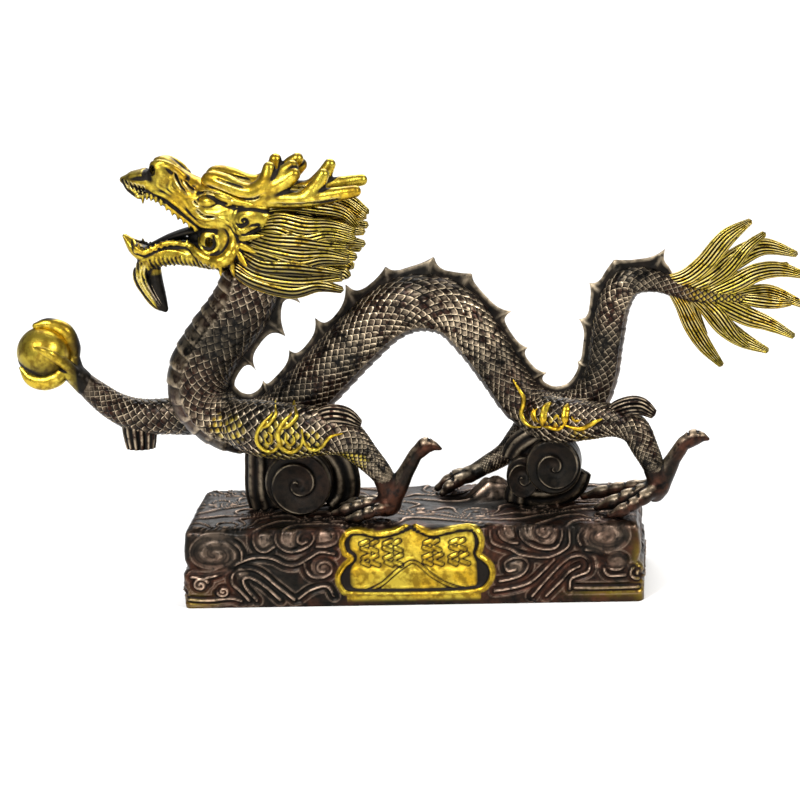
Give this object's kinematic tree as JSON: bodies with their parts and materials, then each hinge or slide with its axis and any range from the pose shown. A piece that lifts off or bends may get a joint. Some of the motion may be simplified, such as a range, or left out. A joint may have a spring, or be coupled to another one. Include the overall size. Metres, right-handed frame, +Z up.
{
  "type": "dragon sculpture",
  "caption": "Cast dragon statue striding over a cloud-carved plinth, its body in a high arch, one forearm raised with a pearl.",
  "frame": {"origin": "centre of the plinth's underside", "axes": "+Z up, +X along the plinth from the dragon's head to its tail, -Y the front with the cartouche"},
  "size_m": [0.3605, 0.0676, 0.2005],
  "materials": {
    "dragon_bronze": "dark brown patinated brass with rubbed scale rims, gilded on the head, antlers, mane, beard, tail plume and pearl",
    "plinth_bronze": "dark brown patinated brass with coppery rubbed relief edges and a gilded cartouche"
  },
  "bodies": {
    "root": {"dragon": "dragon_bronze", "plinth": "plinth_bronze"}
  },
  "joints": []
}
